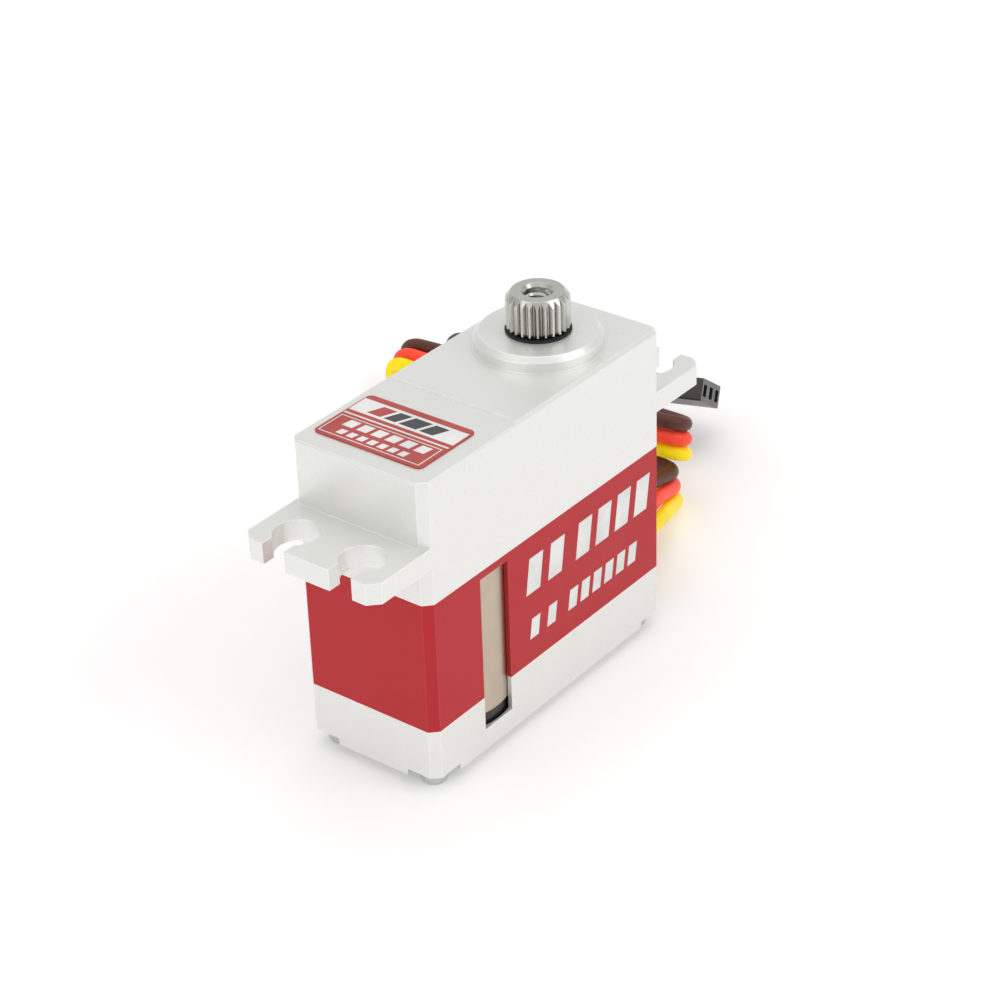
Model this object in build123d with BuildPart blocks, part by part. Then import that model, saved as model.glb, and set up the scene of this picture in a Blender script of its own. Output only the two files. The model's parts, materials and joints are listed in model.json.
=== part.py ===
from build123d import *
import math
import os

# Metal-cased mini servo: a three-part case, a geared coreless motor and a folded three-wire lead.
# Millimetres. +Z is up along the output shaft, +X runs along the case towards the output shaft.
# The origin is at the middle of the footprint, on the surface that the screw heads stand on.

# ---------- driving dimensions ----------
case_length = 35.3
case_width = 15.0
corner_chamfer = 0.8
edge_bevel = 0.3
bottom_case_height = 5.7
middle_case_height = 13.4
top_case_height = 12.3
wall = 1.1
gear_wall = 0.7
floor_thickness = 1.2
deck_thickness = 1.1
roof_thickness = 1.3

ear_length = 6.9
ear_thickness = 2.1
ear_chamfer = 1.0
ear_underside = 3.65  # above the joint between the middle and the top case
ear_hole_radius = 2.15
ear_hole_offset = 3.8
ear_hole_spacing = 7.5
ear_slot_width = 2.5

screw_inset = 2.05
screw_head_radius = 1.3
screw_head_height = 1.65
screw_stand_off = 1.0
screw_shank_radius = 0.8
screw_hole_clearance = 0.1
screw_post_radius = 1.65
corner_pocket = 3.45
screw_reach = 4.4  # into the top case

motor_offset = 9.4  # from the motor end of the case
output_offset = 8.95  # from the output end of the case
motor_pocket = 7.25
window_width = 4.0
window_top_gap = 0.8
window_depth_in_bottom = 3.5
window_shift = -0.2  # from the motor's axis
motor_screw_offset = 4.2
motor_nose_radius = 2.0
deck_play = 0.05
motor_thread_radius = 0.5

boss_radius = 6.05
boss_height = 1.47
boss_chamfer = 0.5
boss_hole_radius = 3.1
bearing_height = 2.5
bearing_radius = 5.0
bearing_drop = 0.5  # how far the bearing stands below its seat
step_height = 0.15
step_offset = 13.5

wire_radius = 0.775
wire_pitch = 1.6
exit_z = 5.4
grommet_bottom = 4.15
grommet_width = 6.2
grommet_reach = 2.95
grommet_lip = 1.0

# ---------- heights ----------
case_bottom = screw_stand_off
lower_joint = case_bottom + bottom_case_height
upper_joint = lower_joint + middle_case_height
case_top = upper_joint + top_case_height
boss_top = case_top + boss_height
half_length = case_length / 2
motor_x = motor_offset - half_length
output_x = half_length - output_offset
deck_underside = upper_joint - deck_thickness
roof_underside = case_top - roof_thickness

screw_spots = GridLocations(case_length - 2 * screw_inset, case_width - 2 * screw_inset, 2, 2)

os.makedirs("parts", exist_ok=True)


def save(piece, name):
    """Labels a finished piece and writes it to its own file."""
    piece.part.label = name
    export_step(piece.part, f"parts/{name}.step")


# ---------- gear train ----------
# Motor pinion, three two-step gears on two centres, and the wheel on the output shaft.
motor_module = 0.25
train_module = 0.3
motor_pinion_teeth = 22
first_wheel_teeth = 50
pinion_teeth = 11
wheel_teeth = 42
pressure_angle = math.radians(20)

gear_pin_x = motor_x + motor_module * (motor_pinion_teeth + first_wheel_teeth) / 2
pin_radius = 0.75
stem_radius = 1.0
running_gap = 0.03


def gear_outline(x, teeth, module, addendum, dedendum, thickness, first_tooth):
    """Closed outline of a spur gear: involute flanks, radial below the base circle.

    addendum and dedendum are in modules, thickness is the tooth's share of the circular pitch,
    first_tooth is the angle in degrees of the middle of one tooth.
    """
    pitch_radius = module * teeth / 2
    base_radius = pitch_radius * math.cos(pressure_angle)
    tip_radius = pitch_radius + addendum * module
    root_radius = pitch_radius - dedendum * module
    pitch_half = thickness * math.pi / teeth
    pitch_involute = math.tan(pressure_angle) - pressure_angle
    start_radius = max(base_radius, root_radius)
    flank = []
    if root_radius < base_radius:
        flank.append((root_radius, pitch_half + pitch_involute))
    for step in range(4):
        radius = start_radius + (tip_radius - start_radius) * step / 3
        roll = math.acos(min(1, base_radius / radius))
        flank.append((radius, pitch_half + pitch_involute - (math.tan(roll) - roll)))
    points = []
    for tooth in range(teeth):
        middle = math.radians(first_tooth) + 2 * math.pi * tooth / teeth
        rising = [(radius, middle - half) for radius, half in flank]
        falling = [(radius, middle + half) for radius, half in reversed(flank)]
        for radius, angle in rising + falling:
            points.append((x + radius * math.cos(angle), radius * math.sin(angle)))
    return points


def gear_step(x, bottom, height, teeth, module, addendum, dedendum, thickness, first_tooth):
    """Extrudes one toothed step of a gear into the part being built."""
    outline = gear_outline(x, teeth, module, addendum, dedendum, thickness, first_tooth)
    with BuildSketch(Plane.XY.offset(bottom)) as profile:
        with BuildLine():
            Polyline(*outline, close=True)
        make_face()
    extrude(profile.sketch, amount=height)


def disc(x, y, bottom, height, radius, mode=Mode.ADD):
    """Adds or cuts an upright cylinder."""
    with BuildSketch(Plane.XY.offset(bottom)) as profile:
        with Locations((x, y)):
            Circle(radius)
    extrude(profile.sketch, amount=height, mode=mode)


def ring(x, y, bottom, height, outer, inner):
    """Adds an upright tube."""
    with BuildSketch(Plane.XY.offset(bottom)) as profile:
        with Locations((x, y)):
            Circle(outer)
            Circle(inner, mode=Mode.SUBTRACT)
    extrude(profile.sketch, amount=height)


def block(x, y, bottom, length, width, height, mode=Mode.ADD, corner=0):
    """Adds or cuts an upright block centred on x, y."""
    with BuildSketch(Plane.XY.offset(bottom)) as profile:
        with Locations((x, y)):
            if corner:
                RectangleRounded(length, width, corner)
            else:
                Rectangle(length, width)
    extrude(profile.sketch, amount=height, mode=mode)


def chamfered_prism(length, width, cut, bottom, height, mode=Mode.ADD):
    """Adds or cuts an upright prism of the case's plan, with chamfered corners."""
    with BuildSketch(Plane.XY.offset(bottom)) as plan:
        Rectangle(length, width)
        chamfer(plan.vertices(), cut)
    extrude(plan.sketch, amount=height, mode=mode)


def wheel(x, bottom, height, first_tooth):
    """A 42-tooth wheel step."""
    gear_step(x, bottom, height, wheel_teeth, train_module, 0.75, 1.35, 0.44, first_tooth)


def pinion(x, bottom, height, first_tooth):
    """An 11-tooth pinion step."""
    gear_step(x, bottom, height, pinion_teeth, train_module, 1.0, 1.05, 0.44, first_tooth)


wheel_half_pitch = 180 / wheel_teeth
first_wheel_half_pitch = 180 / first_wheel_teeth
odd_half_turn = 180 - 5 * 360 / pinion_teeth

# ---------- case ----------
inner_length = case_length - 2 * wall
inner_width = case_width - 2 * wall
inner_cut = 0.4
window_x = motor_x + window_shift

with BuildPart() as bottom_case:
    chamfered_prism(case_length, case_width, corner_chamfer, case_bottom, bottom_case_height)
    chamfered_prism(
        inner_length,
        inner_width,
        inner_cut,
        case_bottom + floor_thickness,
        bottom_case_height - floor_thickness,
        Mode.SUBTRACT,
    )
    disc(motor_x, 0, case_bottom + floor_thickness, bottom_case_height, motor_pocket, Mode.SUBTRACT)
    # Posts for the four long screws, with a square pocket under each corner for the head.
    with BuildSketch(Plane.XY.offset(case_bottom)):
        with screw_spots:
            Circle(screw_post_radius)
    extrude(amount=bottom_case_height)
    with BuildSketch(Plane.XY.offset(case_bottom)):
        with GridLocations(case_length - corner_pocket, case_width - corner_pocket, 2, 2):
            Rectangle(corner_pocket, corner_pocket)
    extrude(amount=screw_head_height - screw_stand_off, mode=Mode.SUBTRACT)
    with BuildSketch(Plane.XY.offset(case_bottom)):
        with screw_spots:
            Circle(screw_shank_radius + screw_hole_clearance)
    extrude(amount=bottom_case_height, mode=Mode.SUBTRACT)
    # Windows over the motor, on both long sides.
    block(
        window_x,
        0,
        lower_joint - window_depth_in_bottom,
        window_width,
        case_width,
        window_depth_in_bottom,
        Mode.SUBTRACT,
    )
    # Slot for the lead's grommet in the output end.
    block(
        half_length,
        0,
        grommet_bottom,
        2 * wall + grommet_lip,
        grommet_width,
        lower_joint - grommet_bottom,
        Mode.SUBTRACT,
    )
save(bottom_case, "bottom_case")

with BuildPart() as middle_case:
    chamfered_prism(case_length, case_width, corner_chamfer, lower_joint, middle_case_height)
    chamfered_prism(
        inner_length,
        inner_width,
        inner_cut,
        lower_joint,
        middle_case_height - deck_thickness,
        Mode.SUBTRACT,
    )
    disc(motor_x, 0, lower_joint, middle_case_height - deck_thickness, motor_pocket, Mode.SUBTRACT)
    with BuildSketch(Plane.XY.offset(lower_joint)):
        with screw_spots:
            Circle(screw_post_radius)
    extrude(amount=middle_case_height)
    with BuildSketch(Plane.XY.offset(lower_joint)):
        with screw_spots:
            Circle(screw_shank_radius + screw_hole_clearance)
    extrude(amount=middle_case_height, mode=Mode.SUBTRACT)
    block(
        window_x,
        0,
        lower_joint,
        window_width,
        case_width,
        middle_case_height - window_top_gap,
        Mode.SUBTRACT,
    )
    # The deck comes back over the windows' strip, so that the motor hangs from it.
    block(window_x, 0, deck_underside, window_width, 2 * motor_pocket - 0.6, deck_thickness)
    # Deck holes: motor nose, two motor screws, gear pin and the shaft's lower bush.
    disc(
        motor_x, 0, deck_underside, deck_thickness, motor_nose_radius + deck_play, Mode.SUBTRACT
    )
    for side in (-1, 1):
        screw_x = motor_x + side * motor_screw_offset
        disc(screw_x, 0, deck_underside, deck_thickness, motor_thread_radius + 0.1, Mode.SUBTRACT)
    disc(gear_pin_x, 0, deck_underside, deck_thickness, pin_radius, Mode.SUBTRACT)
    disc(output_x, 0, deck_underside, deck_thickness, 2.0, Mode.SUBTRACT)
    # Ledges that carry the circuit board.
    for side in (-1, 1):
        block(7.5, side * (inner_width / 2 - 0.4), 7.4, 11.0, 0.8, 0.6)
save(middle_case, "middle_case")

ear_bottom = upper_joint + ear_underside
with BuildPart() as top_case:
    chamfered_prism(case_length, case_width, corner_chamfer, upper_joint, top_case_height)
    top_rim = top_case.faces().sort_by(Axis.Z)[-1].edges()
    chamfer(top_rim, edge_bevel)
    # The motor end of the roof is a hair lower than the output end.
    with BuildSketch(Plane.XY.offset(case_top - step_height)):
        with Locations((-half_length, 0)):
            Rectangle(2 * step_offset, case_width + 1)
    extrude(amount=step_height, mode=Mode.SUBTRACT)
    # Mounting ears at both ends, flush with the long sides.
    with BuildSketch(Plane.XY.offset(ear_bottom)) as ears:
        Rectangle(case_length + 2 * ear_length, case_width)
        chamfer(ears.vertices(), ear_chamfer)
        Rectangle(case_length - 2 * corner_chamfer, case_width, mode=Mode.SUBTRACT)
    extrude(amount=ear_thickness)
    hole_x = half_length + ear_hole_offset
    with BuildSketch(Plane.XY.offset(ear_bottom)):
        with GridLocations(2 * hole_x, ear_hole_spacing, 2, 2):
            Circle(ear_hole_radius)
        with GridLocations(2 * (hole_x + ear_length / 2), ear_hole_spacing, 2, 2):
            Rectangle(ear_length, ear_slot_width)
    extrude(amount=ear_thickness, mode=Mode.SUBTRACT)
    # Boss round the output shaft.
    with BuildSketch(Plane.XY.offset(case_top)):
        with Locations((output_x, 0)):
            Circle(boss_radius)
    extrude(amount=boss_height)
    boss_rim = top_case.faces().sort_by(Axis.Z)[-1].edges()
    chamfer(boss_rim, boss_chamfer)
    # Gear chamber, with posts for the case screws.
    chamfered_prism(
        case_length - 2 * wall,
        case_width - 2 * gear_wall,
        inner_cut,
        upper_joint,
        roof_underside - upper_joint,
        Mode.SUBTRACT,
    )
    with BuildSketch(Plane.XY.offset(upper_joint)):
        with screw_spots:
            Circle(screw_post_radius)
    extrude(amount=roof_underside - upper_joint)
    with BuildSketch(Plane.XY.offset(upper_joint)):
        with screw_spots:
            Circle(screw_shank_radius)
    extrude(amount=screw_reach + 0.6, mode=Mode.SUBTRACT)
    # Seat of the upper ball bearing, and the hole that the shaft comes out of.
    disc(output_x, 0, roof_underside, bearing_height - bearing_drop, bearing_radius, Mode.SUBTRACT)
    disc(output_x, 0, roof_underside, boss_top - roof_underside, boss_hole_radius, Mode.SUBTRACT)
    disc(gear_pin_x, 0, roof_underside, 0.8, pin_radius, Mode.SUBTRACT)
save(top_case, "top_case")

with BuildPart() as case_screws:
    # Four pan-head screws from below, each with a cross recess.
    screw_length = upper_joint + screw_reach - screw_head_height
    with BuildSketch(Plane.XY):
        with screw_spots:
            Circle(screw_head_radius)
    extrude(amount=screw_head_height)
    head_rims = case_screws.faces().sort_by(Axis.Z)[:4]
    fillet([edge for face in head_rims for edge in face.edges()], 0.45)
    with BuildSketch(Plane.XY.offset(screw_head_height)):
        with screw_spots:
            Circle(screw_shank_radius)
    extrude(amount=screw_length)
    with BuildSketch(Plane.XY):
        with screw_spots:
            Rectangle(1.5, 0.35)
            Rectangle(0.35, 1.5)
    extrude(amount=0.7, mode=Mode.SUBTRACT)
save(case_screws, "case_screws")

label_length = 7.9
label_width = 12.05
label_centre = (-half_length + 6.05, 0.5)
label_thickness = 0.12
with BuildPart() as top_label:
    with BuildSketch(Plane.XY.offset(case_top - step_height)):
        with Locations(label_centre):
            RectangleRounded(label_length, label_width, 0.6)
    extrude(amount=label_thickness)
save(top_label, "top_label")

# ---------- motor ----------
can_radius = 7.2
can_bottom = 4.5
can_wall = 0.5
bell_bottom = 2.3
bell_radius = 7.0
magnet_bottom = 7.0
magnet_top = 15.6
magnet_radius = 4.8
magnet_bore = 1.1
bell_top = can_bottom + 0.9
shaft_radius = 0.75
coil_top = 16.4
coil_radius = 6.0
coil_wall = 0.7
coil_web = 0.7
terminal_size = (3.6, 1.0, 0.6)
terminal_bottom = 2.6
terminal_row = 2.0
motor_lead_radius = 0.45

with BuildPart() as motor_can:
    disc(motor_x, 0, can_bottom, deck_underside - can_bottom, can_radius)
    disc(motor_x, 0, deck_underside, 0.8, motor_nose_radius)
    disc(
        motor_x, 0, can_bottom, deck_underside - can_bottom - 0.8, can_radius - can_wall, Mode.SUBTRACT
    )
    disc(motor_x, 0, can_bottom, deck_underside, 1.5, Mode.SUBTRACT)
    for side in (-1, 1):
        screw_x = motor_x + side * motor_screw_offset
        disc(screw_x, 0, can_bottom, deck_underside, motor_thread_radius, Mode.SUBTRACT)
save(motor_can, "motor_can")

with BuildPart() as motor_front_bearing:
    ring(motor_x, 0, deck_underside - 0.8, 1.6, 1.5, shaft_radius + running_gap)
save(motor_front_bearing, "motor_front_bearing")

with BuildPart() as motor_end_bell:
    disc(motor_x, 0, bell_bottom, can_bottom - bell_bottom, bell_radius)
    disc(motor_x, 0, can_bottom, bell_top - can_bottom, can_radius - can_wall)
    disc(motor_x, 0, bell_bottom, 4, shaft_radius + running_gap, Mode.SUBTRACT)
    for side in (-1, 1):
        block(motor_x + 6.4, side * terminal_row, terminal_bottom, 1.8, 1.0, 0.6, Mode.SUBTRACT)
save(motor_end_bell, "motor_end_bell")

with BuildPart() as motor_terminals:
    for side in (-1, 1):
        block(motor_x + 7.3, side * terminal_row, terminal_bottom, *terminal_size)
save(motor_terminals, "motor_terminals")

with BuildPart() as motor_magnet:
    ring(motor_x, 0, magnet_bottom, magnet_top - magnet_bottom, magnet_radius, magnet_bore)
    ring(motor_x, 0, bell_top, magnet_bottom - bell_top, magnet_radius / 2, magnet_bore)
save(motor_magnet, "motor_magnet")

with BuildPart() as rotor_coil:
    # Ironless winding: a cup closed at the top, running in the gap between magnet and can.
    disc(motor_x, 0, magnet_bottom, coil_top - magnet_bottom + coil_web, coil_radius)
    disc(
        motor_x, 0, magnet_bottom, coil_top - magnet_bottom, coil_radius - coil_wall, Mode.SUBTRACT
    )
    disc(motor_x, 0, magnet_bottom, coil_top, shaft_radius, Mode.SUBTRACT)
save(rotor_coil, "rotor_coil")

pinion_bottom = upper_joint + 0.4
with BuildPart() as motor_shaft:
    disc(motor_x, 0, 2.6, 20.2, shaft_radius)
save(motor_shaft, "motor_shaft")

with BuildPart() as motor_pinion:
    gear_step(
        motor_x, pinion_bottom, 2.1, motor_pinion_teeth, motor_module, 0.9, 1.2, 0.44, 0
    )
    disc(motor_x, 0, pinion_bottom, 3, shaft_radius, Mode.SUBTRACT)
save(motor_pinion, "motor_pinion")

with BuildPart() as motor_screws:
    for side in (-1, 1):
        screw_x = motor_x + side * motor_screw_offset
        disc(screw_x, 0, upper_joint, 0.55, 1.0)
        disc(screw_x, 0, deck_underside - 0.7, deck_thickness + 0.7, motor_thread_radius)
        block(screw_x, 0, upper_joint + 0.3, 1.5, 0.3, 0.3, Mode.SUBTRACT)
save(motor_screws, "motor_screws")

# ---------- gears ----------
first_wheel_bottom = upper_joint + 0.9
second_wheel_bottom = first_wheel_bottom + 1.6
third_wheel_bottom = second_wheel_bottom + 1.8
output_wheel_bottom = third_wheel_bottom + 1.8
output_wheel_top = output_wheel_bottom + 2.8

with BuildPart() as gear_pin:
    disc(gear_pin_x, 0, deck_underside, roof_underside + 0.8 - deck_underside, pin_radius)
save(gear_pin, "gear_pin")

with BuildPart() as gear_1:
    gear_step(
        gear_pin_x,
        first_wheel_bottom,
        1.1,
        first_wheel_teeth,
        motor_module,
        0.9,
        1.2,
        0.44,
        first_wheel_half_pitch,
    )
    pinion(gear_pin_x, first_wheel_bottom + 1.1, 1.9, 0)
    disc(gear_pin_x, 0, first_wheel_bottom, 5, pin_radius + running_gap, Mode.SUBTRACT)
save(gear_1, "gear_1")

with BuildPart() as gear_2:
    wheel(output_x, second_wheel_bottom, 1.2, wheel_half_pitch)
    pinion(output_x, second_wheel_bottom + 1.2, 2.1, odd_half_turn)
    disc(output_x, 0, second_wheel_bottom, 5, stem_radius + running_gap, Mode.SUBTRACT)
save(gear_2, "gear_2")

with BuildPart() as gear_3:
    disc(gear_pin_x, 0, third_wheel_bottom - 0.36, 0.36, 1.3)
    wheel(gear_pin_x, third_wheel_bottom, 1.3, wheel_half_pitch)
    pinion(gear_pin_x, third_wheel_bottom + 1.3, 3.5, 0)
    disc(gear_pin_x, 0, third_wheel_bottom - 1, 7, pin_radius + running_gap, Mode.SUBTRACT)
save(gear_3, "gear_3")

with BuildPart() as pin_spacer:
    ring(gear_pin_x, 0, upper_joint, 0.86, 1.4, pin_radius)
save(pin_spacer, "pin_spacer")

with BuildPart() as gear_spacer:
    ring(output_x, 0, upper_joint + 0.74, 1.72, 1.25, stem_radius + running_gap)
save(gear_spacer, "gear_spacer")

# ---------- output shaft ----------
spline_teeth = 25
spline_radius = 3.0
spline_root = 2.6
spline_bottom = boss_top + 0.49
spline_top = spline_bottom + 3.44
spline_chamfer = 0.5
stem_bottom = 15.8
output_screw_radius = 1.25
output_screw_depth = 8.0
countersink = 1.54
bearing_bottom = roof_underside - bearing_drop
journal_radius = 3.0
neck_radius = 2.55
shoulder_radius = 3.6
ball_radius = 0.55
ball_count = 11
seal_radius = 2.7


def spline_outline():
    """Closed outline of the splined head: 25 short teeth with narrow lands."""
    half_pitch = math.pi / spline_teeth
    points = []
    for tooth in range(spline_teeth):
        middle = 2 * half_pitch * tooth
        for radius, share in (
            (spline_root, -0.85),
            (spline_radius, -0.2),
            (spline_radius, 0.2),
            (spline_root, 0.85),
        ):
            angle = middle + share * half_pitch
            points.append((output_x + radius * math.cos(angle), radius * math.sin(angle)))
    return points


with BuildPart() as output_shaft:
    # Splined head, its teeth bevelled at the top by a cone.
    with BuildSketch(Plane.XY.offset(spline_bottom)):
        with BuildLine():
            Polyline(*spline_outline(), close=True)
        make_face()
    extrude(amount=spline_top - spline_bottom)
    with BuildSketch(Plane.XZ):
        with BuildLine():
            Polyline(
                (output_x + spline_radius - spline_chamfer, spline_top),
                (output_x + spline_radius + 0.4, spline_top),
                (output_x + spline_radius + 0.4, spline_top - 1.08),
                close=True,
            )
        make_face()
    revolve(axis=Axis((output_x, 0, 0), (0, 0, 1)), mode=Mode.SUBTRACT)
    # Neck under the spline, bearing journal, shoulder, output wheel and stem.
    neck_bottom = bearing_bottom + bearing_height
    disc(output_x, 0, neck_bottom, spline_bottom - neck_bottom, neck_radius)
    disc(output_x, 0, bearing_bottom, bearing_height, journal_radius)
    disc(output_x, 0, output_wheel_top, bearing_bottom - output_wheel_top, shoulder_radius)
    wheel(output_x, output_wheel_bottom, 2.8, wheel_half_pitch)
    disc(output_x, 0, stem_bottom, output_wheel_bottom - stem_bottom, stem_radius)
    # Threaded hole for the horn screw.
    disc(
        output_x, 0, spline_top - output_screw_depth, output_screw_depth, output_screw_radius, Mode.SUBTRACT
    )
    with BuildSketch(Plane.XZ):
        with BuildLine():
            Polyline(
                (output_x, spline_top),
                (output_x + countersink, spline_top),
                (output_x, spline_top - countersink),
                close=True,
            )
        make_face()
    revolve(axis=Axis((output_x, 0, 0), (0, 0, 1)), mode=Mode.SUBTRACT)
save(output_shaft, "output_shaft")

with BuildPart() as shaft_seal:
    ring(output_x, 0, boss_top - 0.75, 1.0, boss_hole_radius, seal_radius)
save(shaft_seal, "shaft_seal")

ball_track = 4.05
with BuildPart() as bearing_outer_ring:
    ring(output_x, 0, bearing_bottom, bearing_height, bearing_radius, 4.6)
    ring(output_x, 0, bearing_bottom + bearing_height - 0.25, 0.25, 4.7, 3.6)
save(bearing_outer_ring, "bearing_outer_ring")

with BuildPart() as bearing_inner_ring:
    ring(output_x, 0, bearing_bottom, bearing_height, 3.4, journal_radius)
save(bearing_inner_ring, "bearing_inner_ring")

with BuildPart() as bearing_balls:
    with Locations((output_x, 0, bearing_bottom + bearing_height / 2)):
        with PolarLocations(ball_track, ball_count):
            Sphere(ball_radius)
save(bearing_balls, "bearing_balls")

with BuildPart() as lower_bush:
    ring(output_x, 0, deck_underside, deck_thickness, 2.0, stem_radius + running_gap)
    ring(output_x, 0, upper_joint, 0.7, 2.5, stem_radius + running_gap)
save(lower_bush, "lower_bush")

# ---------- position sensor ----------
sensor_bottom = 15.2
sensor_side = 9.6
sensor_cavity = 15.6
pin_bottom = 8.8
with BuildPart() as potentiometer_body:
    block(
        output_x, 0, sensor_bottom, sensor_side, sensor_side, deck_underside - sensor_bottom, corner=0.8
    )
    disc(output_x, 0, sensor_cavity, deck_underside - sensor_cavity, 2.4, Mode.SUBTRACT)
save(potentiometer_body, "potentiometer_body")

with BuildPart() as potentiometer_rotor:
    ring(output_x, 0, sensor_cavity + 0.1, 2.6, 2.3, stem_radius)
save(potentiometer_rotor, "potentiometer_rotor")

with BuildPart() as potentiometer_pins:
    for row in (-1, 0, 1):
        block(output_x + row * 2.5, -3.4, pin_bottom, 0.5, 0.4, sensor_bottom - pin_bottom)
save(potentiometer_pins, "potentiometer_pins")

# ---------- electronics ----------
board_bottom = 8.0
board_thickness = 0.8
board_x = 7.6
chip_spot = (4.2, 0.8)
chip_side = 5.0
board_top = board_bottom + board_thickness
with BuildPart() as circuit_board:
    block(board_x, 0, board_bottom, 16.8, 12.4, board_thickness)
    for side in (-1, 1):
        block(15.4, side * 5.8, board_bottom, 3.6, 4.4, board_thickness, Mode.SUBTRACT)
save(circuit_board, "circuit_board")

with BuildPart() as controller_chip:
    block(*chip_spot, board_top, chip_side, chip_side, 0.9)
    with BuildSketch(Plane.XY.offset(board_top)):
        with Locations(chip_spot):
            with GridLocations(0.8, chip_side + 0.8, 6, 2):
                Rectangle(0.35, 0.8)
    extrude(amount=0.3)
save(controller_chip, "controller_chip")

with BuildPart() as driver_chips:
    for side in (-1, 1):
        block(5.5, side * 2.9, board_bottom - 1.1, 4.6, 3.8, 1.1)
save(driver_chips, "driver_chips")

with BuildPart() as capacitor:
    block(12.4, 2.6, board_top, 3.5, 2.8, 1.9, corner=0.2)
save(capacitor, "capacitor")

with BuildPart() as oscillator:
    block(9.2, 3.6, board_top, 2.4, 2.0, 0.8)
save(oscillator, "oscillator")

with BuildPart() as chip_resistors:
    with BuildSketch(Plane.XY.offset(board_top)):
        with Locations((8.8, 0.6)):
            with GridLocations(1.6, 1.2, 2, 3):
                Rectangle(1.0, 0.5)
    extrude(amount=0.4)
save(chip_resistors, "chip_resistors")


def wire_tube(points, radii, radius=wire_radius):
    """A round tube along straight runs joined by tangent arcs, added to the part being built."""
    with BuildLine() as line:
        path = FilletPolyline(*points, radius=radii)
    with BuildSketch(Plane(origin=path @ 0, z_dir=path % 0)) as section:
        Circle(radius)
    sweep(section.sketch, path=line.line)
    return path


def corner_radii(points):
    """For each inner point, 0.45 of its shorter run over the tangent of half its turn."""
    radii = []
    for before, here, after in zip(points, points[1:], points[2:]):
        incoming = Vector(*here) - Vector(*before)
        outgoing = Vector(*after) - Vector(*here)
        half_turn = math.radians(incoming.get_angle(outgoing)) / 2
        radii.append(0.45 * min(incoming.length, outgoing.length) / math.tan(half_turn))
    return radii


terminal_top = terminal_bottom + terminal_size[2]
with BuildPart() as motor_leads:
    # Two short leads from the motor's terminals to the underside of the board.
    for side in (-1, 1):
        disc(0.4, side * terminal_row, terminal_top, board_bottom - terminal_top, motor_lead_radius)
save(motor_leads, "motor_leads")

# ---------- lead ----------
with BuildPart() as lead_grommet:
    # Rubber strain relief: a plug in the case's slot, a lip inside and a tapered nose outside.
    block(half_length - wall / 2, 0, grommet_bottom, wall, grommet_width, lower_joint - grommet_bottom)
    lip_x = half_length - wall - grommet_lip / 2
    block(lip_x, 0, grommet_bottom - 0.4, grommet_lip, grommet_width + 0.8, 2.9)
    with BuildSketch(Plane.YZ.offset(half_length)):
        with Locations((0, exit_z)):
            RectangleRounded(grommet_width, 2.5, 0.8)
    with BuildSketch(Plane.YZ.offset(half_length + grommet_reach)):
        with Locations((0, exit_z)):
            RectangleRounded(grommet_width - 1, 2.0, 0.8)
    loft()
    with BuildSketch(Plane.YZ.offset(half_length - wall - grommet_lip)):
        with Locations((-wire_pitch, exit_z), (0, exit_z), (wire_pitch, exit_z)):
            Circle(wire_radius)
    extrude(amount=wall + grommet_lip + grommet_reach, mode=Mode.SUBTRACT)
save(lead_grommet, "lead_grommet")

with BuildPart() as lead_tails:
    # The wires' inner ends, from the board down through the grommet.
    for row in (-wire_pitch, 0, wire_pitch):
        route = [
            (13.0, row, board_bottom),
            (13.0, row, exit_z),
            (half_length + grommet_reach, row, exit_z),
        ]
        wire_tube(route, corner_radii(route))
save(lead_tails, "lead_tails")

# The ribbon's middle wire, from the grommet to the plug: x, y, z, then how far the row of three
# wires is turned up from lying flat (degrees), the way its upper edge leans in plan (degrees
# from +X), and the spacing of the wires.
ribbon = [
    (20.6, 0.0, 5.4, 0, 90, 1.6),
    (22.6, 0.0, 5.4, 0, 90, 1.6),
    (25.2, 0.4, 5.25, 14, 92, 1.66),
    (27.8, 1.1, 4.95, 30, 96, 1.68),
    (30.4, 1.9, 4.45, 48, 100, 1.7),
    (33.0, 2.7, 3.65, 68, 104, 1.7),
    (37.0, 3.6, 2.5, 86, 106, 1.65),
    (37.2, 8.0, 2.45, 90, 0, 1.6),
    (37.6, 15.0, 2.42, 88, 0, 1.62),
    (38.0, 22.0, 2.4, 76, 0, 1.66),
    (38.6, 28.5, 2.2, 54, 0, 1.66),
    (39.3, 34.5, 1.85, 36, 0, 1.66),
    (39.9, 39.0, 1.5, 20, 4, 1.66),
    (40.3, 44.2, 1.3, 14, 8, 1.66),
    (40.3, 44.3, 4.9, 14, 8, 1.66),
    (40.0, 39.3, 5.2, 26, 6, 1.66),
    (39.1, 33.5, 5.8, 42, 0, 1.66),
    (37.9, 27.0, 6.6, 60, 0, 1.66),
    (37.2, 20.5, 7.4, 76, 0, 1.66),
    (36.1, 14.0, 8.2, 88, 0, 1.62),
    (35.4, 8.5, 8.75, 90, 0, 1.6),
    (35.2, 3.3, 9.0, 90, 0, 1.8),
    (38.5, 3.0, 7.35, 90, 0, 1.8),
    (38.9, 8.0, 7.15, 90, 0, 1.62),
    (39.3, 15.0, 7.0, 86, 0, 1.62),
    (39.7, 22.0, 7.0, 72, 0, 1.66),
    (40.9, 28.5, 6.6, 54, 0, 1.68),
    (43.3, 35.0, 5.6, 34, 0, 1.74),
    (45.2, 41.7, 4.5, 6, 8, 1.72),
    (45.2, 41.6, 0.95, 4, 8, 1.7),
    (45.5, 36.0, 1.1, 4, 8, 1.72),
    (45.6, 30.5, 2.9, -8, 12, 1.9),
    (44.57, 24.82, 5.68, -34, 17, 2.5),
    (45.62, 21.48, 5.78, -34, 17, 2.5),
]


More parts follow.
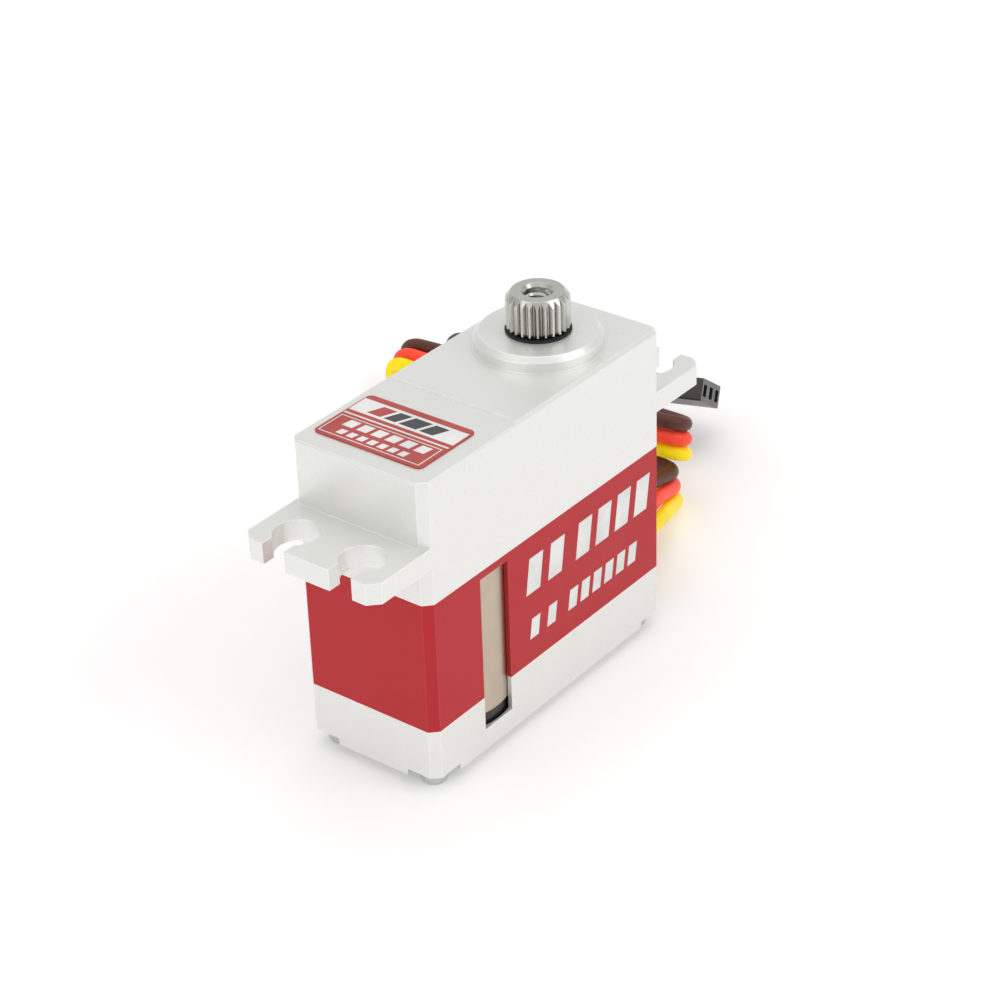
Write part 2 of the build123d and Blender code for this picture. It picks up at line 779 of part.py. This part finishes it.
def wire_points(place):
    """The route of one wire: place is 1 for the upper edge, 0 for the middle, -1 for the lower."""
    points = []
    for x, y, z, rise, lean, spacing in ribbon:
        flat = place * spacing * math.cos(math.radians(rise))
        points.append(
            (
                x + flat * math.cos(math.radians(lean)),
                y + flat * math.sin(math.radians(lean)),
                z + place * spacing * math.sin(math.radians(rise)),
            )
        )
    return points


for colour, place in (("brown", 1), ("red", 0), ("yellow", -1)):
    route = wire_points(place)
    bends = corner_radii(route)
    with BuildPart() as lead_wire:
        centreline = wire_tube(route, bends)
    save(lead_wire, f"lead_wire_{colour}")
    share = lead_wire.part.volume / (math.pi * wire_radius**2 * centreline.length)
    print(colour, "length", round(centreline.length, 1), "volume share", round(share, 4))
    print("radii", [round(bend, 1) for bend in bends])

# ---------- plug ----------
plug_length = 14.0
plug_width = 7.6
plug_thickness = 2.5
contact_pitch = 2.54
plug_tilt = math.radians(34)
plug_axis = Vector(0.3, -0.954, 0.03).normalized()
plug_row = Vector(0.954 * math.cos(plug_tilt), 0.3 * math.cos(plug_tilt), -math.sin(plug_tilt))
plug_front = Plane(origin=(49.82, 8.13, 6.2), x_dir=plug_row, z_dir=plug_axis)

with BuildPart() as plug_housing:
    # Three-way shell with a square hole in front of each contact.
    with BuildSketch(plug_front.offset(-plug_length)):
        RectangleRounded(plug_width, plug_thickness, 0.2)
    extrude(amount=plug_length)
    with BuildSketch(plug_front):
        with GridLocations(contact_pitch, 1, 3, 1):
            Rectangle(1.3, 1.3)
    extrude(amount=-8.5, mode=Mode.SUBTRACT)
    # Latch openings along one broad side.
    latch_side = Plane(
        origin=plug_front.origin - plug_front.y_dir * (plug_thickness / 2),
        x_dir=plug_front.x_dir,
        z_dir=-plug_front.y_dir,
    )
    with BuildSketch(latch_side):
        with Locations((0, 5.2)):
            with GridLocations(contact_pitch, 1, 3, 1):
                Rectangle(1.5, 2.4)
    extrude(amount=-0.5, mode=Mode.SUBTRACT)
save(plug_housing, "plug_housing")

with BuildPart() as plug_contacts:
    with BuildSketch(plug_front.offset(-8.5)):
        with GridLocations(contact_pitch, 1, 3, 1):
            Rectangle(1.1, 1.1)
            Rectangle(0.7, 0.7, mode=Mode.SUBTRACT)
    extrude(amount=7.6)
save(plug_contacts, "plug_contacts")
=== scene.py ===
import json
import math

import bmesh
import bpy
from mathutils import Matrix, Vector


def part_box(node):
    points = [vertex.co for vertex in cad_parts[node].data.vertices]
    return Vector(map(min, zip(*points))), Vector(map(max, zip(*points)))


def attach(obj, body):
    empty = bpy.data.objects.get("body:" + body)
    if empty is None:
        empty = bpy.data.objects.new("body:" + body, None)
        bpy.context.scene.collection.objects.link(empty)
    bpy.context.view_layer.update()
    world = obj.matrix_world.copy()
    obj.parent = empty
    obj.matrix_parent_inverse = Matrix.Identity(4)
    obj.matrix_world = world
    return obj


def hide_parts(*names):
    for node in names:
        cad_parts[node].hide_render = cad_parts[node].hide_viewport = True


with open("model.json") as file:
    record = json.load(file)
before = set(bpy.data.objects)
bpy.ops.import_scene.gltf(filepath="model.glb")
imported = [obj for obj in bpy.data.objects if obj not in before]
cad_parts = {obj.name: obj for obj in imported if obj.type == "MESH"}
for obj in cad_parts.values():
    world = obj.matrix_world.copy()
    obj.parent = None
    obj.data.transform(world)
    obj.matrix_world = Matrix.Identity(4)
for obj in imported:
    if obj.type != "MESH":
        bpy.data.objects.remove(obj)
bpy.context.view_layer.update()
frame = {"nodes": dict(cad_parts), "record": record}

scene = bpy.context.scene
MM = 0.001

# ---------- camera ----------
CAMERA_PLACE = (-0.16654, -0.13410, 0.14669)
CAMERA_LENS = 97.25
look = Vector((0.67326, 0.53508, -0.51030)).normalized()
right = Vector((0.60824, -0.79322, -0.02926)).normalized()
up = right.cross(look).normalized()
camera_data = bpy.data.cameras.new("camera")
camera_data.lens = CAMERA_LENS
camera_data.sensor_width = 36.0
camera_data.clip_start = 0.01
camera = bpy.data.objects.new("camera", camera_data)
scene.collection.objects.link(camera)
turned_to = Matrix((right, up, -look)).transposed().to_4x4()
camera.matrix_world = Matrix.Translation(CAMERA_PLACE) @ turned_to
scene.camera = camera

# ---------- lead ----------
WIRE = 0.00155
# The ribbon's middle wire in millimetres: x, y, z, how far the row of wires is turned up from flat
# and which way its upper edge leans in plan, both in degrees, and the spacing of the wires.
RIBBON = [
    (20.6, 0.0, 5.4, 0, 90, 1.6),
    (22.6, 0.0, 5.4, 0, 90, 1.6),
    (25.2, 0.4, 5.25, 14, 92, 1.66),
    (27.8, 1.1, 4.95, 30, 96, 1.68),
    (30.4, 1.9, 4.45, 48, 100, 1.7),
    (33.0, 2.7, 3.65, 68, 104, 1.7),
    (37.0, 3.6, 2.5, 86, 106, 1.65),
    (37.2, 8.0, 2.45, 90, 0, 1.6),
    (37.6, 15.0, 2.42, 88, 0, 1.62),
    (38.0, 22.0, 2.4, 76, 0, 1.66),
    (38.6, 28.5, 2.2, 54, 0, 1.66),
    (39.3, 34.5, 1.85, 36, 0, 1.66),
    (39.9, 39.0, 1.5, 20, 4, 1.66),
    (40.3, 44.2, 1.3, 14, 8, 1.66),
    (40.3, 44.3, 4.9, 14, 8, 1.66),
    (40.0, 39.3, 5.2, 26, 6, 1.66),
    (39.1, 33.5, 5.8, 42, 0, 1.66),
    (37.9, 27.0, 6.6, 60, 0, 1.66),
    (37.2, 20.5, 7.4, 76, 0, 1.66),
    (36.1, 14.0, 8.2, 88, 0, 1.62),
    (35.4, 8.5, 8.75, 90, 0, 1.6),
    (35.2, 3.3, 9.0, 90, 0, 1.8),
    (38.5, 3.0, 7.35, 90, 0, 1.8),
    (38.9, 8.0, 7.15, 90, 0, 1.62),
    (39.3, 15.0, 7.0, 86, 0, 1.62),
    (39.7, 22.0, 7.0, 72, 0, 1.66),
    (40.9, 28.5, 6.6, 54, 0, 1.68),
    (43.3, 35.0, 5.6, 34, 0, 1.74),
    (45.2, 41.7, 4.5, 6, 8, 1.72),
    (45.2, 41.6, 0.95, 4, 8, 1.7),
    (45.5, 36.0, 1.1, 4, 8, 1.72),
    (45.6, 30.5, 2.9, -8, 12, 1.9),
    (44.57, 24.82, 5.68, -34, 17, 2.5),
    (45.62, 21.48, 5.78, -34, 17, 2.5),
]


def wire_points(place):
    """The route of the wire that is place spacings from the middle one, towards the upper edge."""
    points = []
    for x, y, z, rise, lean, spacing in RIBBON:
        rise = math.radians(rise)
        lean = math.radians(lean)
        flat = math.cos(rise)
        sideways = Vector((flat * math.cos(lean), flat * math.sin(lean), math.sin(rise)))
        points.append((Vector((x, y, z)) + sideways * place * spacing) * MM)
    return points


def wire(name, place):
    """One wire, a smooth curve with the route's points as its control points.

    A point's radius scales the bevel and also widens the curve's bounding box, so it is 1 mm
    here and the bevel makes up for it.
    """
    route = wire_points(place)
    curve = bpy.data.curves.new(name, "CURVE")
    curve.dimensions = "3D"
    curve.resolution_u = 12
    curve.bevel_depth = WIRE / 2 / MM
    curve.bevel_resolution = 5
    curve.use_fill_caps = True
    spline = curve.splines.new("NURBS")
    spline.points.add(len(route) - 1)
    for point, co in zip(spline.points, route):
        point.co = (*co, 1.0)
        point.radius = MM
    spline.order_u = 3
    spline.use_endpoint_u = True
    obj = bpy.data.objects.new(name, curve)
    scene.collection.objects.link(obj)
    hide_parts("lead_" + name)
    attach(obj, "case")
    return obj, route[0]


WIRES = [("brown", 1, 0.1673), ("red", 0, 0.1666), ("yellow", -1, 0.1670)]
wires = {}
for colour, place, length in WIRES:
    wires[colour], start = wire("wire_" + colour, place)


# ---------- materials ----------
def material(name):
    """A new material, its node tree and its main shader."""
    made = bpy.data.materials.new(name)
    made.use_nodes = True
    tree = made.node_tree
    shader = tree.nodes["Principled BSDF"]
    return made, tree, shader


def object_noise(tree, scale, detail=2.0):
    """A noise texture fixed to the object, as a value from 0 to 1."""
    place = tree.nodes.new("ShaderNodeTexCoord")
    noise = tree.nodes.new("ShaderNodeTexNoise")
    noise.inputs["Scale"].default_value = scale
    noise.inputs["Detail"].default_value = detail
    tree.links.new(place.outputs["Object"], noise.inputs["Vector"])
    return noise.outputs["Fac"]


def remap(tree, source, from_range, to_range):
    """Maps one range of a value onto another, and holds it at the ends."""
    ramp = tree.nodes.new("ShaderNodeMapRange")
    ramp.inputs["From Min"].default_value = from_range[0]
    ramp.inputs["From Max"].default_value = from_range[1]
    ramp.inputs["To Min"].default_value = to_range[0]
    ramp.inputs["To Max"].default_value = to_range[1]
    tree.links.new(source, ramp.inputs["Value"])
    return ramp.outputs["Result"]


def spread(tree, source, low, high):
    """Maps a noise texture's usual values onto low..high."""
    return remap(tree, source, (0.3, 0.7), (low, high))


def blend_colours(tree, factor, first, second):
    """Goes from the first colour to the second; each is a colour or another node's output."""
    mix = tree.nodes.new("ShaderNodeMix")
    mix.data_type = "RGBA"
    tree.links.new(factor, mix.inputs["Factor"])
    for socket, colour in (("A", first), ("B", second)):
        if isinstance(colour, tuple):
            mix.inputs[socket].default_value = (*colour, 1)
        else:
            tree.links.new(colour, mix.inputs[socket])
    return mix.outputs["Result"]


def shaded(colour, share):
    """The colour with each channel at a share of its value."""
    return tuple(channel * share for channel in colour)


def soften(tree, shader, radius, strength, height, distance=0.00002):
    """Softens edges in the shading and puts a fine bump on top."""
    bevel = tree.nodes.new("ShaderNodeBevel")
    bevel.samples = 4
    bevel.inputs["Radius"].default_value = radius
    bump = tree.nodes.new("ShaderNodeBump")
    bump.inputs["Strength"].default_value = strength
    bump.inputs["Distance"].default_value = distance
    tree.links.new(height, bump.inputs["Height"])
    tree.links.new(bevel.outputs["Normal"], bump.inputs["Normal"])
    tree.links.new(bump.outputs["Normal"], shader.inputs["Normal"])


def painted_edge_highlight(tree, base, light):
    """Paints a highlight along edges: the colour there is lightened towards a light colour."""
    bevel = tree.nodes.new("ShaderNodeBevel")
    bevel.samples = 6
    bevel.inputs["Radius"].default_value = 0.0002
    shape = tree.nodes.new("ShaderNodeNewGeometry")
    dot = tree.nodes.new("ShaderNodeVectorMath")
    dot.operation = "DOT_PRODUCT"
    tree.links.new(bevel.outputs["Normal"], dot.inputs[0])
    tree.links.new(shape.outputs["Normal"], dot.inputs[1])
    edge = remap(tree, dot.outputs["Value"], (0.995, 0.9), (0.0, 1.0))
    return blend_colours(tree, edge, base, light)


def painted_gap_shade(tree, base, dark):
    """Paints shade into narrow gaps such as the bottoms of the splines: the colour darkens where
    ambient occlusion is low.
    """
    hollow = tree.nodes.new("ShaderNodeAmbientOcclusion")
    hollow.samples = 16
    hollow.inputs["Distance"].default_value = 0.0005
    openness = remap(tree, hollow.outputs["AO"], (0.15, 0.8), (0.0, 1.0))
    return blend_colours(tree, openness, dark, base)


def blasted(name, colour, metallic, rough, grain, edge, sheen=0.5):
    """Bead-blasted, anodised aluminium: a fine even grain with faint cloudiness."""
    made, tree, shader = material(name)
    shader.inputs["Metallic"].default_value = metallic
    shader.inputs["Specular IOR Level"].default_value = sheen
    fine = object_noise(tree, 7000, 3.0)
    cloud = object_noise(tree, 120)
    base = blend_colours(tree, spread(tree, fine, 0.0, 1.0), colour, shaded(colour, 0.955))
    # Painted highlight: the colour is lightened towards the edge colour along the edges.
    tree.links.new(painted_edge_highlight(tree, base, edge), shader.inputs["Base Color"])
    roughness = spread(tree, cloud, rough - 0.03, rough + 0.03)
    tree.links.new(roughness, shader.inputs["Roughness"])
    soften(tree, shader, 0.00012, grain, fine)
    return made


def turned(name, colour, rough, grain=0.25, dark=None):
    """Machined metal with a fine grain; dark, when given, is the colour of painted shade down in
    its gaps.
    """
    made, tree, shader = material(name)
    shader.inputs["Metallic"].default_value = 1.0
    fine = object_noise(tree, 2600, 3.0)
    patch = object_noise(tree, 500)
    base = blend_colours(tree, spread(tree, patch, 0.0, 1.0), colour, shaded(colour, 0.92))
    if dark:
        base = painted_gap_shade(tree, base, dark)
    tree.links.new(base, shader.inputs["Base Color"])
    roughness = spread(tree, fine, rough - 0.02, rough + 0.03)
    tree.links.new(roughness, shader.inputs["Roughness"])
    soften(tree, shader, 0.00006, grain, fine, 0.00001)
    return made


def plastic(name, colour, rough, grain=0.15, coat=0.0, painted_glow=0.0, sheen=0.5):
    """Moulded or extruded plastic; glow is painted light, an emission in the plastic's own colour
    that brightens it.
    """
    made, tree, shader = material(name)
    shader.inputs["Specular IOR Level"].default_value = sheen
    shader.inputs["Emission Color"].default_value = (*colour, 1)
    shader.inputs["Emission Strength"].default_value = painted_glow
    shader.inputs["Coat Weight"].default_value = coat
    shader.inputs["Coat Roughness"].default_value = 0.2
    fine = object_noise(tree, 3000)
    cloud = object_noise(tree, 300)
    base = blend_colours(tree, spread(tree, cloud, 0.0, 1.0), colour, shaded(colour, 0.85))
    tree.links.new(base, shader.inputs["Base Color"])
    roughness = spread(tree, cloud, rough - 0.04, rough + 0.04)
    tree.links.new(roughness, shader.inputs["Roughness"])
    soften(tree, shader, 0.00008, grain, fine)
    return made


finishes = {
    # The edge colours of both anodised finishes are painted highlights along their edges.
    "anodised_silver": blasted(
        "anodised_silver", (0.83, 0.83, 0.8), 0.55, 0.38, 0.3, edge=(1.0, 1.0, 0.98)
    ),
    "anodised_red": blasted(
        "anodised_red", (0.48, 0.014, 0.02), 0.2, 0.45, 0.12, edge=(0.62, 0.06, 0.06), sheen=0.35
    ),
    "screw_steel": turned("screw_steel", (0.62, 0.62, 0.62), 0.3),
    "motor_can": turned("motor_can", (0.56, 0.475, 0.385), 0.4, 0.4),
    "brass": turned("brass", (0.72, 0.5, 0.22), 0.3),
    "black_plastic": plastic("black_plastic", (0.015, 0.0142, 0.0135), 0.42, 0.25, coat=0.2),
    "magnet": turned("magnet", (0.3, 0.3, 0.32), 0.4),
    "copper_winding": turned("copper_winding", (0.62, 0.25, 0.1), 0.35, 0.6),
    # The steel gets painted shade in the gaps between its spline teeth.
    "steel": turned("steel", (0.62, 0.62, 0.58), 0.22, 0.02, dark=(0.05, 0.05, 0.045)),
    "gear_metal": turned("gear_metal", (0.42, 0.41, 0.39), 0.32),
    "rubber": plastic("rubber", (0.012, 0.012, 0.012), 0.7, 0.3),
    "bearing_steel": turned("bearing_steel", (0.75, 0.76, 0.78), 0.14),
    "white_plastic": plastic("white_plastic", (0.8, 0.8, 0.76), 0.4),
    "board_green": plastic("board_green", (0.01, 0.13, 0.05), 0.3),
    "chip_black": plastic("chip_black", (0.03, 0.03, 0.03), 0.5),
    "capacitor_tan": plastic("capacitor_tan", (0.6, 0.36, 0.08), 0.35),
    "wire_black": plastic("wire_black", (0.02, 0.02, 0.02), 0.4),
    "wire_brown": plastic("wire_brown", (0.11, 0.032, 0.022), 0.42, 0.08, sheen=0.3),
    # Painted light: the red and yellow wires glow in their own colour to look brighter.
    "wire_red": plastic("wire_red", (0.97, 0.07, 0.033), 0.42, 0.08, painted_glow=0.12, sheen=0.3),
    "wire_yellow": plastic("wire_yellow", (1.0, 0.78, 0.0), 0.42, 0.08, painted_glow=0.08, sheen=0.25),
    "label": plastic("label", (0.47, 0.055, 0.047), 0.38, 0.1),
    "print_white": plastic("print_white", (0.82, 0.82, 0.8), 0.45, 0.1),
    "print_dark": plastic("print_dark", (0.055, 0.055, 0.06), 0.45, 0.1),
}
slot_of = {entry["node"]: entry["material_slot"] for entry in frame["record"]["subparts"]}
for name, obj in frame["nodes"].items():
    for place in obj.material_slots:
        place.material = finishes[slot_of[name]]
for colour, obj in wires.items():
    obj.data.materials.append(finishes["wire_" + colour])

# ---------- printing ----------
INK = 0.00001


def inked(name, shapes, at, slot):
    """Thin flat shapes: each is a list of (u, v) in millimetres, at(u, v, lift) gives the point."""
    mesh = bpy.data.meshes.new(name)
    build = bmesh.new()
    for shape in shapes:
        lower = [build.verts.new(at(u, v, 0.0)) for u, v in shape]
        upper = [build.verts.new(at(u, v, INK)) for u, v in shape]
        build.faces.new(upper)
        build.faces.new(list(reversed(lower)))
        for i in range(len(shape)):
            j = (i + 1) % len(shape)
            build.faces.new((lower[i], lower[j], upper[j], upper[i]))
    bmesh.ops.recalc_face_normals(build, faces=build.faces)
    build.to_mesh(mesh)
    build.free()
    mesh.materials.append(finishes[slot])
    obj = bpy.data.objects.new(name, mesh)
    scene.collection.objects.link(obj)
    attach(obj, "case")


def bar(u, v, width, height, lean=0.0):
    """A bar from its lower left corner; lean pushes its top edge to the right."""
    return [(u, v), (u + width, v), (u + width + lean, v + height), (u + lean, v + height)]


def frame_shape(u, v, width, height, line):
    """Four bars round a rectangle."""
    return [
        bar(u, v, width, line),
        bar(u, v + height - line, width, line),
        bar(u, v + line, line, height - 2 * line),
        bar(u + width - line, v + line, line, height - 2 * line),
    ]


label_low, label_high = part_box("top_label")


def on_label(u, v, lift):
    """The label reads along -Y; u runs right and v up from its lower left corner."""
    return Vector((label_low[0] + v * MM, label_high[1] - u * MM, label_high[2] + lift))


def over_label(u, v, lift):
    """On top of the label's white band."""
    return on_label(u, v, lift + INK)


inked("label_white_band", [bar(0.12, 4.78, 11.75, 2.35)], on_label, "print_white")
inked("label_white_line", [bar(0.12, 4.08, 11.75, 0.22)], on_label, "print_white")
inked("label_panel_line", frame_shape(0.28, 0.42, 11.3, 3.3, 0.12), on_label, "print_white")
inked(
    "label_panel_bars",
    [bar(1.5 + 1.6 * i, 2.2, 1.15, 1.15, 0.2) for i in range(6)]
    + [bar(1.9 + 1.15 * i, 0.85, 0.75, 0.8, 0.15) for i in range(7)],
    on_label,
    "print_white",
)
inked("label_red_flash", [bar(1.9, 5.15, 1.5, 1.6, 0.7)], over_label, "label")
inked(
    "label_dark_flashes",
    [bar(3.8, 5.15, 1.3, 1.6, 0.7), bar(5.5, 5.15, 1.9, 1.6, 0.7), bar(7.8, 5.15, 1.5, 1.6, 0.7)],
    over_label,
    "print_dark",
)

side_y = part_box("middle_case")[0][1]


def on_side(u, v, lift):
    """The long side that the print is on; u is X and v is Z."""
    return Vector((u * MM, side_y - lift, v * MM))


UPPER_ROW = [-3.9, -0.6, 3.7, 6.8, 9.9, 13.0]
LOWER_ROW = [-3.5, -0.9, 2.4, 4.3, 6.2, 8.1, 10.0, 11.9]
inked(
    "side_print",
    [bar(u, 14.1, 2.1, 3.7, 0.6) for u in UPPER_ROW]
    + [bar(u, 9.2, 1.3, 2.1, 0.35) for u in LOWER_ROW],
    on_side,
    "print_white",
)

# ---------- thread in the output's hole ----------
THREAD_DEPTH = 7.6
THREAD_PITCH = 0.5
THREAD_TURNS = 14
THREAD_STEPS = 40
# A ridge's section as radius and height: its root is just inside the metal.
RIDGE = ((1.27, 0.22), (1.04, 0.0), (1.27, -0.22))

shaft_low, shaft_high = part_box("output_shaft")
thread_x = (shaft_low[0] + shaft_high[0]) / 2 / MM
thread_bottom = shaft_high[2] / MM - THREAD_DEPTH
thread_build = bmesh.new()
rings = []
for step in range(THREAD_TURNS * THREAD_STEPS + 1):
    turn = 2 * math.pi * step / THREAD_STEPS
    height = thread_bottom + THREAD_PITCH * step / THREAD_STEPS
    rings.append([
        thread_build.verts.new(Vector((
            thread_x + radius * math.cos(turn),
            radius * math.sin(turn),
            height + shift,
        )) * MM)
        for radius, shift in RIDGE
    ])
for one, two in zip(rings, rings[1:]):
    for i in range(3):
        j = (i + 1) % 3
        thread_build.faces.new((one[i], one[j], two[j], two[i]))
thread_build.faces.new(rings[0])
thread_build.faces.new(list(reversed(rings[-1])))
bmesh.ops.recalc_face_normals(thread_build, faces=thread_build.faces)
thread_mesh = bpy.data.meshes.new("horn_thread")
thread_build.to_mesh(thread_mesh)
thread_build.free()
thread_mesh.materials.append(finishes["steel"])
thread = bpy.data.objects.new("horn_thread", thread_mesh)
scene.collection.objects.link(thread)
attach(thread, "output")

# ---------- stage ----------
FLOOR_NEAR = -1.5
FLOOR_FAR = 1.2
FLOOR_HALF = 2.4
SWEEP_RADIUS = 0.5
SWEEP_STEPS = 12
BACKDROP_HEIGHT = 2.4

# The floor's section away from the camera: flat, a quarter turn up, and the backdrop.
profile = [(FLOOR_NEAR, 0.0)]
for step in range(SWEEP_STEPS + 1):
    turn = math.radians(90 * step / SWEEP_STEPS)
    profile.append((
        FLOOR_FAR + SWEEP_RADIUS * math.sin(turn),
        SWEEP_RADIUS - SWEEP_RADIUS * math.cos(turn),
    ))
profile.append((FLOOR_FAR + SWEEP_RADIUS, BACKDROP_HEIGHT))
away = Vector((look.x, look.y, 0)).normalized()
across = Vector((-away.y, away.x, 0))
floor_build = bmesh.new()
one_side, other_side = (
    [floor_build.verts.new(away * d + across * side + Vector((0, 0, h))) for d, h in profile]
    for side in (-FLOOR_HALF, FLOOR_HALF)
)
for i in range(len(profile) - 1):
    floor_build.faces.new((one_side[i], one_side[i + 1], other_side[i + 1], other_side[i]))
floor_mesh = bpy.data.meshes.new("floor")
floor_build.to_mesh(floor_mesh)
floor_build.free()
for face in floor_mesh.polygons:
    face.use_smooth = True
floor_finish, _, floor_shader = material("floor")
floor_shader.inputs["Base Color"].default_value = (0.94, 0.94, 0.94, 1)
floor_shader.inputs["Emission Color"].default_value = (1, 1, 1, 1)
floor_shader.inputs["Emission Strength"].default_value = 0.11
floor_shader.inputs["Roughness"].default_value = 0.6
floor_shader.inputs["Specular IOR Level"].default_value = 0.2
floor_mesh.materials.append(floor_finish)
floor = bpy.data.objects.new("floor", floor_mesh)
scene.collection.objects.link(floor)

# ---------- light ----------
world = bpy.data.worlds.new("world")
scene.world = world
world.use_nodes = True
sky = world.node_tree
sky.nodes["Background"].inputs["Color"].default_value = (1, 1, 1, 1)
sky_place = sky.nodes.new("ShaderNodeTexCoord")
sky_split = sky.nodes.new("ShaderNodeSeparateXYZ")
sky.links.new(sky_place.outputs["Generated"], sky_split.inputs["Vector"])
# White, and brighter overhead than at the horizon.
sky_level = remap(sky, sky_split.outputs["Z"], (-0.1, 0.9), (0.42, 0.70))
sky.links.new(sky_level, sky.nodes["Background"].inputs["Strength"])


def softbox(name, place, target, size, power):
    """A rectangular area light at place, aimed at target."""
    lamp = bpy.data.lights.new(name, "AREA")
    lamp.shape = "RECTANGLE"
    lamp.size, lamp.size_y = size
    lamp.energy = power
    obj = bpy.data.objects.new(name, lamp)
    obj.location = place
    obj.rotation_euler = (Vector(target) - Vector(place)).to_track_quat("-Z", "Y").to_euler()
    scene.collection.objects.link(obj)


softbox("key", (0.2, -0.7, 0.55), (0, 0, 0.02), (0.6, 0.5), 1.95)
softbox("fill", (-0.7, 0.1, 0.45), (0, 0, 0.02), (0.6, 0.5), 1.3)
softbox("top", (0.1, 0.1, 0.9), (0, 0, 0), (0.8, 0.8), 2.0)

scene.view_settings.view_transform = "Standard"
scene.view_settings.exposure = 0.0
